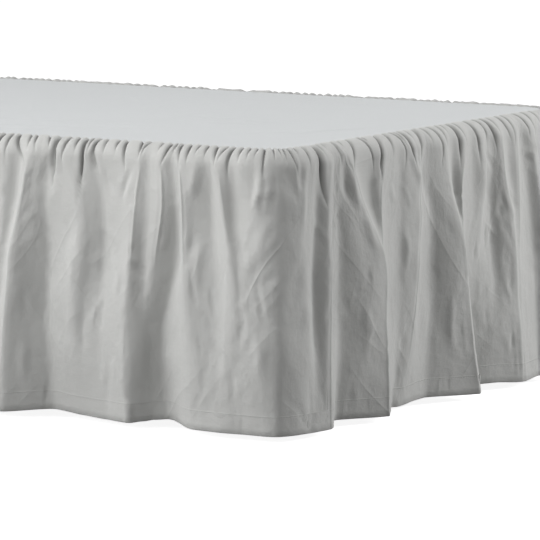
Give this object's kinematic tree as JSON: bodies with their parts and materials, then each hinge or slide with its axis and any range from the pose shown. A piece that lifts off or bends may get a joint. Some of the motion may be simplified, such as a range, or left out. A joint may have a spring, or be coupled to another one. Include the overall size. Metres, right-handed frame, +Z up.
{
  "type": "gathered bed skirt on a bed base",
  "caption": "Bed skirt: a flat deck panel over a plain bed base, with a gathered ruffle sewn to its edge that hangs in uneven folds round two sides and the foot end.",
  "frame": {"origin": "on the floor, under the middle of the whole object's box", "axes": "+X along the bed towards the foot end, +Y across it, +Z up"},
  "size_m": [2.0462, 1.0017, 0.4345],
  "materials": {
    "deck_cotton": "plain woven cotton, matte, pale cool grey",
    "ruffle_cotton": "plain woven cotton, matte, light warm grey",
    "base_cloth": "plain cover cloth, matte",
    "leg_wood": "oiled"
  },
  "bodies": {
    "root": {"deck_panel": "deck_cotton", "ruffle": "ruffle_cotton", "bed_base": "base_cloth", "leg_head_front": "leg_wood", "leg_head_back": "leg_wood", "leg_foot_front": "leg_wood", "leg_foot_back": "leg_wood"}
  },
  "joints": []
}
